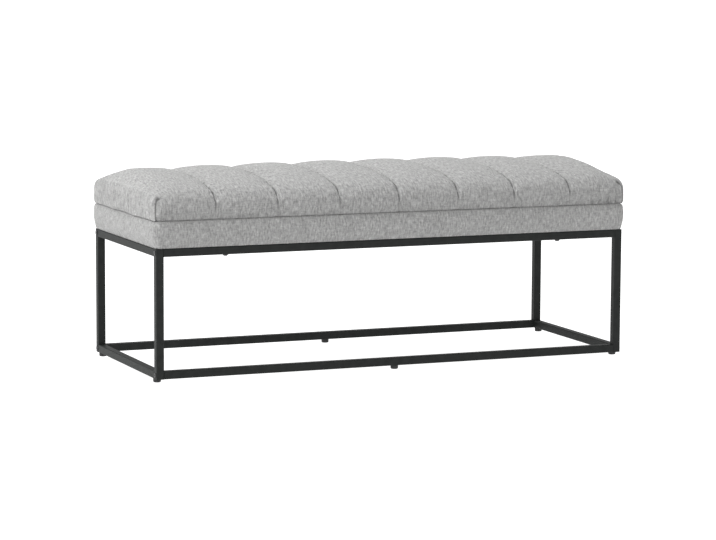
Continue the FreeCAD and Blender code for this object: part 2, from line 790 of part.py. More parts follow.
def cover_section(root_y, y, height, rise, fall):
    """One section: flat root and sides, a ridge per channel, round ends.

    It lies in the plane through the root line and the sewn line, measured as
    across, along X, and out, from the root line to the sewn line.
    """
    seam_z = frame_top + value("seam_height")
    root = Vector(0, root_y, seam_z)
    outward = Vector(0, y - root_y, height)
    reach = outward.Length
    outward.normalize()
    pitch = value("frame_length") / channel_count
    half_length = value("frame_length") / 2
    end = half_length + value("end_swell")
    fall_share = value("crown_fall") * height / cover_middle[0]

    def point(across, out):
        return root + Vector(across, 0, 0) + outward * out

    def sewn(across):
        return reach - fall_share * (across / half_length) ** 2

    valleys = [pitch * (number - channel_count / 2) for number in range(1, channel_count)]
    edges = []
    for left, right in zip(valleys, valleys[1:]):
        middle = (left + right) / 2
        arc = Part.Arc(point(left, sewn(left)), point(middle, sewn(middle) + rise), point(right, sewn(right)))
        edges.append(arc.toShape())

    # An end channel: from its last valley to its ridge, then two arcs that
    # turn a quarter in all, and the flat side
    valley = valleys[-1]
    ridge = half_length - pitch / 2
    top = sewn(ridge) + rise
    drop = top - sewn(valley)
    run = ridge - valley
    ridge_radius = (run ** 2 + drop ** 2) / (2 * drop)
    half_angle = math.atan2(run, ridge_radius - drop) / 2
    width = end - ridge
    bend = math.atan2(fall, width) / 2
    sine, cosine = math.sin(bend), math.cos(bend)
    corner_radius = (fall * sine - width * (1 - cosine)) / (sine * cosine - (1 - sine) * (1 - cosine))
    long_radius = (width - corner_radius * (1 - sine)) / sine
    corner_x = ridge + (long_radius - corner_radius) * sine
    corner_out = top - long_radius + (long_radius - corner_radius) * cosine
    rest = (bend + math.pi / 2) / 2
    path = [
        (valley, sewn(valley)),
        (ridge - ridge_radius * math.sin(half_angle), top - ridge_radius * (1 - math.cos(half_angle))),
        (ridge, top),
        (ridge + long_radius * math.sin(bend / 2), top - long_radius * (1 - math.cos(bend / 2))),
        (ridge + long_radius * sine, top - long_radius * (1 - cosine)),
        (corner_x + corner_radius * math.sin(rest), corner_out + corner_radius * math.cos(rest)),
        (end, corner_out),
    ]
    for side in (1, -1):
        points = [point(side * across, out) for across, out in path]
        arcs = [Part.Arc(*points[number:number + 3]).toShape() for number in (0, 2, 4)]
        flat = Part.LineSegment(points[-1], point(side * end, 0)).toShape()
        edges = edges + arcs + [flat] if side > 0 else [flat] + arcs[::-1] + edges
    edges.append(Part.LineSegment(point(end, 0), point(-end, 0)).toShape())
    return Part.Wire(Part.__sortEdges__(edges))


def channel_cover():
    """The sewn top with its wadding: one loft over the depth, hollow for the core."""
    cover = Part.makeLoft([cover_section(*station) for station in cover_stations()], True, False)
    gap = value("soft_clearance")
    seam = frame_top + value("seam_height")
    below = seam - value("cut_margin")
    room_top = seam + value("core_height") + gap
    return cover.cut(block(value("core_inset") - gap, value("slab_corner"), below, room_top))


shape_feature("channel_cover", channel_cover())

# Tests, then the files

doc.recompute()
for item in doc.Objects:
    if {"Invalid", "Error"} & set(item.State):
        raise ValueError(f"{item.Label} failed: {item.State}")
for node in nodes:
    if node.Shape.isNull() or not node.Shape.isValid() or not node.Shape.Solids:
        raise ValueError(f"{node.Label} has no valid solid")

os.makedirs("parts", exist_ok=True)
for node in nodes:
    node.Shape.exportStep(f"parts/{node.Label}.step")
    print(node.Label, len(node.Shape.Solids), round(node.Shape.Volume / 1000, 2), "cm3")
print(len(nodes), "nodes")
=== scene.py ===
import json
import math

import bmesh
import bpy
import numpy as np
from mathutils import Matrix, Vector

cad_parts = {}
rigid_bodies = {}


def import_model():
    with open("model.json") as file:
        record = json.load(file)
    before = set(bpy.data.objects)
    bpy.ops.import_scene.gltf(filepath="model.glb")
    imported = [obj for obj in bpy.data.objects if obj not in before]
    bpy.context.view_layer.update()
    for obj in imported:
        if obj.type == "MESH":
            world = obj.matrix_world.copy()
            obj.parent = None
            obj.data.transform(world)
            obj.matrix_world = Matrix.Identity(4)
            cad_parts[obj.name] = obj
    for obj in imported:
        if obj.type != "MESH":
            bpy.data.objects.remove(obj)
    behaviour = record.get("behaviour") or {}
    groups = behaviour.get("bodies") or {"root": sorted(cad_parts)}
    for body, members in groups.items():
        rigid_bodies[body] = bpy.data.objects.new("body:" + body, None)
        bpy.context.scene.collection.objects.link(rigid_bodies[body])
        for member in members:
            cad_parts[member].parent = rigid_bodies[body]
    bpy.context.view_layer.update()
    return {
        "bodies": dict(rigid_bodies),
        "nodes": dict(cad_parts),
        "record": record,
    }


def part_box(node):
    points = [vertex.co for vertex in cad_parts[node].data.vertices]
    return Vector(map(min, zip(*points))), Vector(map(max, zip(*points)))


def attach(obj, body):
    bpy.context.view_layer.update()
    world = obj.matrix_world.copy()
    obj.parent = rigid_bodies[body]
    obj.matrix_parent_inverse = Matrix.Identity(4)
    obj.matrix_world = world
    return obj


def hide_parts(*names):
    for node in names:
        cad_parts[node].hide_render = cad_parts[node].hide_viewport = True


# Upholstered bench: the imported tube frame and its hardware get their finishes
# here, and the soft seat, its dust cover and the foot stems are made anew.
# Metres, +X right, +Y rear, +Z up.

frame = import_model()
print("frame loaded,", len(frame["nodes"]), "nodes")

# Places read from the frame
legLow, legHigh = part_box("leg_front_left")
halfLength = -legLow.x  # of the tube frame
halfDepth = -legLow.y
frameTop = legHigh.z
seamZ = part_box("border_band_front")[1].z  # seam between band and cover


# Camera, light and floor

camera = {
    "place": (-2.7338, -6.5706, 1.116),
    "yaw": 22.569,  # degrees, to the right of straight ahead
    "pitch": 7.240,  # degrees down
    "roll": 0.291,
    "lens": 146.6,
    "farClip": 200,
}


def addCamera():
    # The view axes from yaw, pitch and roll: ahead, then right and up turned by the roll
    yaw, pitch, roll = (math.radians(camera[key]) for key in ("yaw", "pitch", "roll"))
    level = np.array([math.cos(yaw), -math.sin(yaw), 0.0])
    ahead = np.array([
        math.sin(yaw) * math.cos(pitch),
        math.cos(yaw) * math.cos(pitch),
        -math.sin(pitch),
    ])
    above = np.cross(level, ahead)
    right = math.cos(roll) * level + math.sin(roll) * above
    up = -math.sin(roll) * level + math.cos(roll) * above
    data = bpy.data.cameras.new("camera")
    data.lens = camera["lens"]
    data.sensor_fit = "HORIZONTAL"
    data.clip_end = camera["farClip"]
    made = bpy.data.objects.new("camera", data)
    matrix = Matrix.Identity(4)
    for column, axis in enumerate((right, up, -ahead, camera["place"])):
        for row in range(3):
            matrix[row][column] = axis[row]
    made.matrix_world = matrix
    bpy.context.scene.collection.objects.link(made)
    bpy.context.scene.camera = made


studio = {
    "sky": 0.70,
    "floorColour": (0.26, 0.26, 0.26, 1),
    "floorRoughness": 0.9,
    "floorGlow": 1.0,
    "floorHalf": 60.0,
    "floorHeight": -0.0085,  # under the feet when they are screwed right out
    # place, aim, size, watts
    "lamps": [
        ((-4.2, -0.6, 3.4), (0, 0, 0.35), 2.2, 180),
        ((0.2, 1.8, 4.5), (0, 0, 0.4), 3.0, 130),
    ],
}


def addLight():
    # An even white sky, and square lamps that are each turned towards their aim
    scene = bpy.context.scene
    scene.view_settings.view_transform = "Standard"
    world = bpy.data.worlds.new("studio")
    world.use_nodes = True
    background = world.node_tree.nodes["Background"]
    background.inputs["Strength"].default_value = studio["sky"]
    background.inputs["Color"].default_value = (1, 1, 1, 1)
    scene.world = world
    for number, (place, aim, size, watts) in enumerate(studio["lamps"]):
        lamp = bpy.data.lights.new(f"lamp{number}", "AREA")
        lamp.size = size
        lamp.energy = watts
        made = bpy.data.objects.new(f"lamp{number}", lamp)
        made.location = place
        towards = np.array(aim, float) - np.array(place)
        made.rotation_euler = (
            math.atan2(math.hypot(towards[0], towards[1]), -towards[2]),
            0,
            math.atan2(towards[1], towards[0]) - math.pi / 2,
        )
        scene.collection.objects.link(made)


# Helpers for nodes


def addNode(tree, kind, inputs=None, **settings):
    # inputs gives each socket a value or another node's output
    made = tree.nodes.new(kind)
    for key, setting in settings.items():
        setattr(made, key, setting)
    for socket, source in (inputs or {}).items():
        if isinstance(source, bpy.types.NodeSocket):
            tree.links.new(source, made.inputs[socket])
        else:
            made.inputs[socket].default_value = source
    return made


def newMaterial(name, shader):
    # shader holds what is the same all over the surface, by socket
    made = bpy.data.materials.new(name)
    made.use_nodes = True
    principled = made.node_tree.nodes["Principled BSDF"]
    for socket, setting in shader.items():
        principled.inputs[socket].default_value = setting
    return made, made.node_tree, principled


def objectPlace(tree):
    return addNode(tree, "ShaderNodeTexCoord").outputs["Object"]


def shades(tree, factor, stops):
    # A colour ramp through stops of place and colour
    ramp = addNode(tree, "ShaderNodeValToRGB", {"Fac": factor})
    elements = ramp.color_ramp.elements
    for number, (place, colour) in enumerate(stops):
        if number < 2:
            element = elements[number]
            element.position = place
        else:
            element = elements.new(place)
        element.color = (*colour, 1)
    return ramp.outputs["Color"]


def greys(tree, factor, *stops):
    # A ramp through stops of place and brightness
    return shades(tree, factor, [(place, (level, level, level)) for place, level in stops])


def twoTone(tree, factor, look):
    # Dark to light over the middle of a noise's range
    return shades(tree, factor, [(0.3, look["dark"]), (0.7, look["light"])])


def noise(tree, vector, scale, detail, roughness=0.5):
    return addNode(
        tree,
        "ShaderNodeTexNoise",
        {"Vector": vector, "Scale": scale, "Detail": detail, "Roughness": roughness},
    ).outputs["Fac"]


def scaled(tree, vector, across, along, height=1.0):
    return addNode(
        tree, "ShaderNodeMapping", {"Vector": vector, "Scale": (across, along, height)}
    ).outputs["Vector"]


def maths(tree, operation, first, second=0.0):
    return addNode(tree, "ShaderNodeMath", {0: first, 1: second}, operation=operation).outputs[0]


def blendValue(tree, factor, first, second):
    made = addNode(tree, "ShaderNodeMix", {0: factor, 2: first, 3: second}, data_type="FLOAT")
    return made.outputs[0]


def multiplied(tree, first, second):
    # One colour times another
    inputs = {0: 1.0, 6: first, 7: second}
    made = addNode(tree, "ShaderNodeMix", inputs, data_type="RGBA", blend_type="MULTIPLY")
    return made.outputs[2]


def paint(tree, principled, colour):
    tree.links.new(colour, principled.inputs["Base Color"])


def bump(tree, principled, height, distance, strength):
    inputs = {"Height": height, "Distance": distance, "Strength": strength}
    made = addNode(tree, "ShaderNodeBump", inputs)
    tree.links.new(made.outputs["Normal"], principled.inputs["Normal"])


# Helpers for meshes


def newPiece(name, points, faces, material, grain=None, crease=None):
    # points is n by 3, faces are rows of corners; grain and crease (painted shade for the colour)
    # go to attributes
    mesh = bpy.data.meshes.new(name)
    mesh.from_pydata(points.tolist(), [], [list(face) for face in faces])
    mesh.update()
    if grain is not None:
        made = mesh.attributes.new("grain", "FLOAT_VECTOR", "POINT")
        made.data.foreach_set("vector", grain.astype(np.float32).ravel())
    if crease is not None:
        made = mesh.attributes.new("crease", "FLOAT", "POINT")
        made.data.foreach_set("value", crease.astype(np.float32))
    mesh.polygons.foreach_set("use_smooth", np.ones(len(mesh.polygons), bool))
    work = bmesh.new()
    work.from_mesh(mesh)
    bmesh.ops.recalc_face_normals(work, faces=work.faces)
    work.to_mesh(mesh)
    work.free()
    mesh.materials.append(material)
    piece = bpy.data.objects.new(name, mesh)
    bpy.context.scene.collection.objects.link(piece)
    return piece


def gridFaces(rows, columns, wrapRows=False, wrapColumns=False):
    # Quads between neighbours of a rows by columns grid of points
    row = np.arange(rows if wrapRows else rows - 1)[:, None]
    column = np.arange(columns if wrapColumns else columns - 1)[None, :]
    nextRow = (row + 1) % rows
    nextColumn = (column + 1) % columns
    corners = np.broadcast_arrays(
        row * columns + column,
        row * columns + nextColumn,
        nextRow * columns + nextColumn,
        nextRow * columns + column,
    )
    return np.stack(corners, -1).reshape(-1, 4)


def runLengths(points):
    # Distance from the first point to each, along the line through them
    steps = np.linalg.norm(np.diff(points, axis=0), axis=1)
    return np.concatenate([[0], np.cumsum(steps)])


def bell(distance, width):
    # exp(-(distance / width) ** 2): 1 at nought, next to nothing two widths away
    return np.exp(-((distance / width) ** 2))


def rising(value, width):
    # 0 below nought, 1 past the width, a straight line between
    return np.clip(value / width, 0, 1)


# Finishes

cloth = {
    "shader": {"Roughness": 0.92, "Sheen Weight": 0.10, "Sheen Roughness": 0.5},
    "tones": [
        (0.30, (0.312, 0.311, 0.308)),
        (0.50, (0.440, 0.439, 0.434)),
        (0.70, (0.590, 0.588, 0.582)),
    ],
    # scale across and along, detail
    "slub": (265, 74, 2.5),  # streaks about 4 mm wide and 14 mm long
    "pick": (90, 260, 2.0),  # short threads the other way
    "fleck": (560, 300, 2.0),
    "mottle": (34, 22, 3.0),
    "noiseRoughness": 0.55,
    # dark end and bright end of the noise, brightness at the dark end
    "pickShade": (0.32, 0.62, 0.80),
    "fleckShade": (0.30, 0.52, 0.78),
    "mottleShade": (0.25, 0.75, 0.90),
    "endSlice": 0.37,  # where the ends' noise is cut, so that it differs from the top's
    "threadPitch": 0.0016,  # a thread each way every 0.8 mm
    "weaveShade": 0.93,
    # creaseShade: the cloth's brightness where the painted shade at seams is full
    "creaseShade": 0.36,
    "weaveRise": 0.25,
    "slubRise": 1.4,
    "fleckRise": 0.6,
    "bump": (0.0014, 0.9),  # depth, strength
}


def wovenFabric(name):
    # Heathered upholstery cloth: plain weave, slubs along the grain, soft mottling.
    # The grain attribute holds metres across and along the cloth, and 1 where the
    # cloth is an end's, whose own y and z are used. The crease attribute darkens the colour as
    # painted shade along the seam lines.
    material, tree, principled = newMaterial(name, cloth["shader"])
    grain = addNode(tree, "ShaderNodeAttribute", attribute_name="grain").outputs["Vector"]
    across, along, turned = addNode(tree, "ShaderNodeSeparateXYZ", {0: grain}).outputs
    place = objectPlace(tree)
    _, endAcross, endAlong = addNode(tree, "ShaderNodeSeparateXYZ", {0: place}).outputs
    kind = "ShaderNodeCombineXYZ"
    straight = addNode(tree, kind, {0: across, 1: along, 2: 0.0}).outputs[0]
    crossed = addNode(tree, kind, {0: endAcross, 1: endAlong, 2: cloth["endSlice"]}).outputs[0]

    def threads(part):
        # The part's noise on the top and on the ends, blended where one turns to the other
        *scale, detail = cloth[part]
        first, second = (
            noise(tree, scaled(tree, vector, *scale), 1.0, detail, cloth["noiseRoughness"])
            for vector in (straight, crossed)
        )
        return blendValue(tree, turned, first, second)

    slub, fleck = threads("slub"), threads("fleck")
    colour = shades(tree, slub, cloth["tones"])
    spreads = {"pick": threads("pick"), "fleck": fleck, "mottle": threads("mottle")}
    for part, spread in spreads.items():
        low, high, dark = cloth[part + "Shade"]
        colour = multiplied(tree, colour, greys(tree, spread, (low, dark), (high, 1)))
    turnsPerMetre = 2 * math.pi / cloth["threadPitch"]
    waves = [
        maths(tree, "SINE", maths(tree, "MULTIPLY", run, turnsPerMetre))
        for run in (across, along, endAcross, endAlong)
    ]
    weave = blendValue(
        tree, turned, maths(tree, "MULTIPLY", *waves[:2]), maths(tree, "MULTIPLY", *waves[2:])
    )
    colour = multiplied(tree, colour, greys(tree, weave, (0.0, cloth["weaveShade"]), (0.5, 1)))
    # Painted shade: the colour darkened along the seams, gathers and tucks, by the attribute made
    # in sewCover
    crease = addNode(tree, "ShaderNodeAttribute", attribute_name="crease").outputs["Fac"]
    colour = multiplied(tree, colour, greys(tree, crease, (0.0, 1), (1.0, cloth["creaseShade"])))
    paint(tree, principled, colour)
    rise = maths(
        tree,
        "ADD",
        maths(tree, "MULTIPLY", weave, cloth["weaveRise"]),
        maths(tree, "MULTIPLY", slub, cloth["slubRise"]),
    )
    rise = maths(tree, "ADD", rise, maths(tree, "MULTIPLY", fleck, cloth["fleckRise"]))
    bump(tree, principled, rise, *cloth["bump"])
    return material


# In the looks below a noise is scale and detail, sometimes roughness, and a bump
# is depth and strength

coat = {
    "shader": {"Roughness": 0.5, "Specular IOR Level": 0.11},
    "dark": (0.0155, 0.017, 0.0165),
    "light": (0.0225, 0.0243, 0.0235),
    "dust": (60.0, 4.0),
    "peel": (900.0, 1.0),
    "bump": (0.00012, 0.5),
}


def powderCoat(name):
    # Charcoal powder coat: fine orange peel and a little dust in the colour
    material, tree, principled = newMaterial(name, coat["shader"])
    place = objectPlace(tree)
    paint(tree, principled, twoTone(tree, noise(tree, place, *coat["dust"]), coat))
    bump(tree, principled, noise(tree, place, *coat["peel"]), *coat["bump"])
    return material


moulding = {
    "shader": {"Roughness": 0.5, "Specular IOR Level": 0.4},
    "dark": (0.012, 0.012, 0.012),
    "light": (0.022, 0.022, 0.022),
    "texture": (1800.0, 2.0),
    "bump": (0.00008, 0.6),
}


def mouldedPlastic(name):
    # Black nylon with a fine spark-eroded texture
    material, tree, principled = newMaterial(name, moulding["shader"])
    texture = noise(tree, objectPlace(tree), *moulding["texture"])
    paint(tree, principled, twoTone(tree, texture, moulding))
    bump(tree, principled, texture, *moulding["bump"])
    return material


oxide = {
    "shader": {"Roughness": 0.36, "Metallic": 0.6},
    "dark": (0.02, 0.02, 0.021),
    "light": (0.05, 0.05, 0.05),
    "blotch": (500.0, 3.0),
}


def blackSteel(name):
    # Black oxide: satin, a little uneven
    material, tree, principled = newMaterial(name, oxide["shader"])
    blotch = noise(tree, objectPlace(tree), *oxide["blotch"])
    paint(tree, principled, twoTone(tree, blotch, oxide))
    return material


zinc = {
    "shader": {"Roughness": 0.32, "Metallic": 1.0},
    "dark": (0.50, 0.50, 0.47),
    "light": (0.66, 0.66, 0.64),
    "bloom": (350.0, 3.0),
    "marks": (200, 200, 4000),  # scale along x, y and z
    "marksDetail": 1.0,
    "bump": (0.00003, 0.5),
}


def zincSteel(name):
    # Bright zinc plating with a fine turned mark and faint bloom
    material, tree, principled = newMaterial(name, zinc["shader"])
    place = objectPlace(tree)
    paint(tree, principled, twoTone(tree, noise(tree, place, *zinc["bloom"]), zinc))
    marks = noise(tree, scaled(tree, place, *zinc["marks"]), 1.0, zinc["marksDetail"])
    bump(tree, principled, marks, *zinc["bump"])
    return material


wire = {
    "shader": {"Roughness": 0.38, "Metallic": 1.0},
    "dark": (0.45, 0.45, 0.46),
    "light": (0.68, 0.68, 0.69),
    "mottle": (1200.0, 2.0),
}


def stapleWire(name):
    # Galvanised wire, finely mottled
    material, tree, principled = newMaterial(name, wire["shader"])
    mottle = noise(tree, objectPlace(tree), *wire["mottle"])
    paint(tree, principled, twoTone(tree, mottle, wire))
    return material


felted = {
    "shader": {"Roughness": 0.95},
    "dark": (0.010, 0.010, 0.011),
    "light": (0.032, 0.032, 0.034),
    "felt": (420.0, 6.0, 0.7),
    "dots": {"Scale": 420.0, "Randomness": 0.15},
    "bump": (0.0002, 0.6),
}


def dustCloth(name):
    # Black non-woven cloth: felted threads and an embossed dot pattern
    material, tree, principled = newMaterial(name, felted["shader"])
    place = objectPlace(tree)
    felt = noise(tree, place, *felted["felt"])
    paint(tree, principled, twoTone(tree, felt, felted))
    dots = addNode(tree, "ShaderNodeTexVoronoi", {"Vector": place, **felted["dots"]})
    height = maths(tree, "ADD", dots.outputs["Distance"], felt)
    bump(tree, principled, height, *felted["bump"])
    return material


birch = {
    "shader": {"Roughness": 0.7},
    "dark": (0.46, 0.33, 0.19),
    "light": (0.64, 0.50, 0.33),
    "figure": (3.0, 40.0, 40.0),  # scale along x, y and z
    "figureNoise": (1.0, 5.0, 0.6),
    "ply": 0.0015,  # thickness
    "edgeTones": [(0.45, (0.72, 0.66, 0.60)), (0.55, (1, 1, 1))],
    "bump": (0.0003, 0.5),
}


def plywood(name):
    # Birch plywood: long wavy figure, and plies of two tones that follow the height
    material, tree, principled = newMaterial(name, birch["shader"])
    place = objectPlace(tree)
    figure = noise(tree, scaled(tree, place, *birch["figure"]), *birch["figureNoise"])
    height = addNode(tree, "ShaderNodeSeparateXYZ", {0: place}).outputs[2]
    ply = maths(tree, "DIVIDE", maths(tree, "PINGPONG", height, birch["ply"]), birch["ply"])
    edge = shades(tree, ply, birch["edgeTones"])
    paint(tree, principled, multiplied(tree, twoTone(tree, figure, birch), edge))
    bump(tree, principled, figure, *birch["bump"])
    return material


sponge = {
    "shader": {"Roughness": 0.95},
    "dark": (0.72, 0.64, 0.40),
    "light": (0.82, 0.75, 0.52),
    "tone": (30.0, 3.0),
    "cells": {"Scale": 900.0},
    "bump": (0.0005, 0.7),
}


def seatFoam(name):
    # Cream polyurethane foam with open cells
    material, tree, principled = newMaterial(name, sponge["shader"])
    place = objectPlace(tree)
    cells = addNode(tree, "ShaderNodeTexVoronoi", {"Vector": place, **sponge["cells"]})
    paint(tree, principled, twoTone(tree, noise(tree, place, *sponge["tone"]), sponge))
    bump(tree, principled, cells.outputs["Distance"], *sponge["bump"])
    return material


finishes = {
    "frame_paint": powderCoat("powderCoat"),
    "black_plastic": mouldedPlastic("mouldedPlastic"),
    "black_steel": blackSteel("blackSteel"),
    "plain_steel": zincSteel("zincSteel"),
    "staple_wire": stapleWire("stapleWire"),
    "dust_cloth": dustCloth("dustCloth"),
    "plywood": plywood("plywood"),
    "foam": seatFoam("seatFoam"),
    "woven_fabric": wovenFabric("wovenFabric"),
}
for part in frame["record"]["subparts"]:
    node = frame["nodes"][part["node"]]
    node.data.materials.clear()
    node.data.materials.append(finishes[part["material_slot"]])


# Cloth simulation

inflation = {
    "frames": 20,
    "quality": 5,
    "mass": 0.25,
    "tension": 20.0,
    "shear": 8,
    "bending": 0.4,
    "airDamping": 2,
}


def readPoints(mesh):
    points = np.empty(len(mesh.vertices) * 3, np.float32)
    mesh.vertices.foreach_get("co", points)
    return points.reshape(-1, 3).astype(float)


def writePoints(piece, points):
    piece.data.vertices.foreach_set("co", points.astype(np.float32).ravel())
    piece.data.update()


def inflate(piece, held, look):
    # Presses the cloth out from inside, held along its seams, and caps each point's
    # move at the furthest distance: move * min(1, furthest / length of move)
    start = readPoints(piece.data)
    group = piece.vertex_groups.new(name="held")
    group.add(np.flatnonzero(held).tolist(), 1.0, "REPLACE")
    simulation = piece.modifiers.new("cloth", "CLOTH")
    settings = simulation.settings
    settings.quality = inflation["quality"]
    settings.mass = inflation["mass"]
    settings.tension_stiffness = settings.compression_stiffness = inflation["tension"]
    settings.shear_stiffness = inflation["shear"]
    settings.bending_stiffness = inflation["bending"]
    settings.air_damping = inflation["airDamping"]
    settings.shrink_min = -look["slack"]
    settings.use_pressure = True
    settings.uniform_pressure_force = look["pressure"]
    settings.vertex_group_mass = "held"
    settings.effector_weights.gravity = 0
    simulation.collision_settings.use_collision = False
    simulation.collision_settings.use_self_collision = False
    simulation.point_cache.frame_start = 1
    simulation.point_cache.frame_end = inflation["frames"]
    scene = bpy.context.scene
    for number in range(1, inflation["frames"] + 1):
        scene.frame_set(number)
    shaped = piece.evaluated_get(bpy.context.evaluated_depsgraph_get())
    move = readPoints(shaped.data) - start
    piece.modifiers.remove(simulation)
    piece.vertex_groups.clear()
    scene.frame_set(1)
    length = np.linalg.norm(move, axis=1)
    mean, most = length.mean() * 1000, length.max() * 1000
    print(f"  {piece.name}: moved {mean:.1f} mm on average, {most:.1f} mm at most")
    share = np.minimum(1, look["furthest"] / np.maximum(length, 1e-9))
    writePoints(piece, start + move * share[:, None])


# Channelled cover

cover = {
    "channels": 8,
    # From the front seam up to the middle of the depth: the sewn line behind the
    # frame's front and above the seam, the channels' rise from it, and the fall
    # from an end channel's ridge to the end's flat side
    "outline": [
        (0.0004, 0.000, 0.0004, 0.0075),
        (-0.0032, 0.012, 0.0012, 0.0085),
        (-0.0034, 0.028, 0.0022, 0.0095),
        (-0.0005, 0.042, 0.0040, 0.0095),
        (0.0110, 0.055, 0.0062, 0.0120),
        (0.0360, 0.067, 0.0080, 0.0220),
        (0.0840, 0.079, 0.0095, 0.0360),
        (0.1500, 0.0875, 0.0105, 0.0380),
    ],
    "middle": (0.091, 0.0110, 0.0350),  # height, rise and fall there
    "ridgePower": 0.85,  # roundness of a channel
    "endPower": 3.9,  # the end channel falls from its ridge as this power of the way out
    "cornerRound": 0.0058,
    "seamShifts": [-0.005, -0.0015, 0.004, 0.005, 0.008, 0.0065, 0.0055],
    "root": 0.060,  # half length of the line that the ends' flat sides fan out from
    "endSwell": 0.0045,  # the flat sides stand this far past the frame
    "crownFall": 0.007,  # the sewn line's fall from the middle to the ends
    "rows": 128,
    "perChannel": 24,
    "endColumns": (20, 12, 20),  # long arc, corner arc, flat side
    "nearSeams": 0.6,  # how much closer the columns lie at the seams
    # Cloth simulation
    "pressure": 4.0,
    "slack": 0.012,
    "furthest": 0.0032,
    # Channel seams, which grow from the border up and stop short of the ends
    "seamDepth": 0.0034,
    "seamWidth": 0.0019,
    # seamShade and shadeTop to shadeRange set the painted shade along the channel seams
    "seamShade": 0.0013,  # half width of the shaded line at a seam
    "seamStart": 0.012,
    "seamGrowth": 0.034,
    "seamLeast": 0.12,
    "shadeTop": 0.086,  # the shade fades as the seams come up to here
    "shadeFade": 0.012,
    "shadeRange": (0.25, 0.8),
    "topInset": 0.022,
    "topFade": 0.01,
    # Pulls beside the channel seams
    "pull": 0.0008,
    "pullPitch": 0.021,
    "pullAway": 0.004,
    "pullWidth": 0.012,
    "pullGrowth": 0.05,
    "wander": [(0.31, 0.004, 0.3), (0.083, 0.003, 1.1)],  # length, depth, start
    # Gathers above the border seam, deeper towards the right end
    "gathers": [(0.0113, 0.00055, 0.2), (0.0071, 0.0003, 1.7), (0.0237, 0.0007, 0.9)],
    "gatherDepth": 0.0012,
    "gatherStart": 0.004,
    "gatherReach": 0.017,
    # gatherShade: painted shade in the gathers' hollows
    "gatherShade": 0.09,
    "gatherEnd": 2.6,
    "gatherEndInset": 0.03,
    "gatherEndWidth": 0.06,
    "gatherMargin": 0.004,
    "gatherFade": 0.006,
    # Border seam
    "tuckIn": 0.0018,
    "tuckReach": 0.0028,
    # borderShade: painted shade along the border seam
    "borderShade": 0.22,
    # Corner seams, with a small tuck at their tops
    "cornerRows": 20,  # the front rows that a corner's place is read from
    "cornerSeamTop": 0.052,  # above the border seam
    "cornerSeamDepth": 0.0024,
    "cornerSeamWidth": 0.0024,
    "cornerReach": 0.034,
    "cornerFade": 0.006,
    "tuckDepth": 0.0042,
    "tuckSize": 0.0048,
    "tuckCornerReach": 0.06,
    # tuckShade: painted shade at the corner tucks
    "tuckShade": 1.6,
    # The grain turns to the end's own over this strip of the corner arc
    "turnInset": 0.0045,
    "turnWidth": 0.004,
    # Room for the foam core
    "coreInset": 0.0297,
    "coreHeight": 0.0463,
}
channelPitch = 2 * halfLength / cover["channels"]


def curveThrough(knots, heights, places):
    # Natural cubic spline: its second slopes m solve, for steps h between knots,
    # h0 * m0 + 2 * (h0 + h1) * m1 + h1 * m2 = 6 * (slope1 - slope0)
    steps = np.diff(knots)
    slopes = np.diff(heights) / steps
    count = len(knots)
    system = np.eye(count)
    inner = np.arange(1, count - 1)
    system[inner, inner - 1] = steps[:-1]
    system[inner, inner] = 2 * (steps[:-1] + steps[1:])
    system[inner, inner + 1] = steps[1:]
    right = np.zeros(count)
    right[inner] = 6 * np.diff(slopes)
    second = np.linalg.solve(system, right)
    cell = np.clip(np.searchsorted(knots, places) - 1, 0, count - 2)
    a = (knots[cell + 1] - places) / steps[cell]
    b = 1 - a
    bend = ((a**3 - a) * second[cell] + (b**3 - b) * second[cell + 1]) * steps[cell] ** 2 / 6
    return a * heights[cell] + b * heights[cell + 1] + bend


def coverStations():
    # Rows from front to rear, evenly along the sewn line: each row's root and sewn
    # line, rise, end fall and distance along the cloth
    front = np.array([(behind - halfDepth, *rest) for behind, *rest in cover["outline"]])
    middle = np.array([(0.0, *cover["middle"])])
    rear = front[::-1] * np.array([-1, 1, 1, 1])
    stations = np.vstack([front, middle, rear])
    knots = runLengths(stations[:, :2])
    along = np.linspace(0, knots[-1], cover["rows"])
    y, height, rise, fall = (curveThrough(knots, stations[:, k], along) for k in range(4))
    roots = cover["root"] * (2 * np.linspace(0, 1, cover["rows"]) - 1)
    return roots, y, height, rise, fall, along


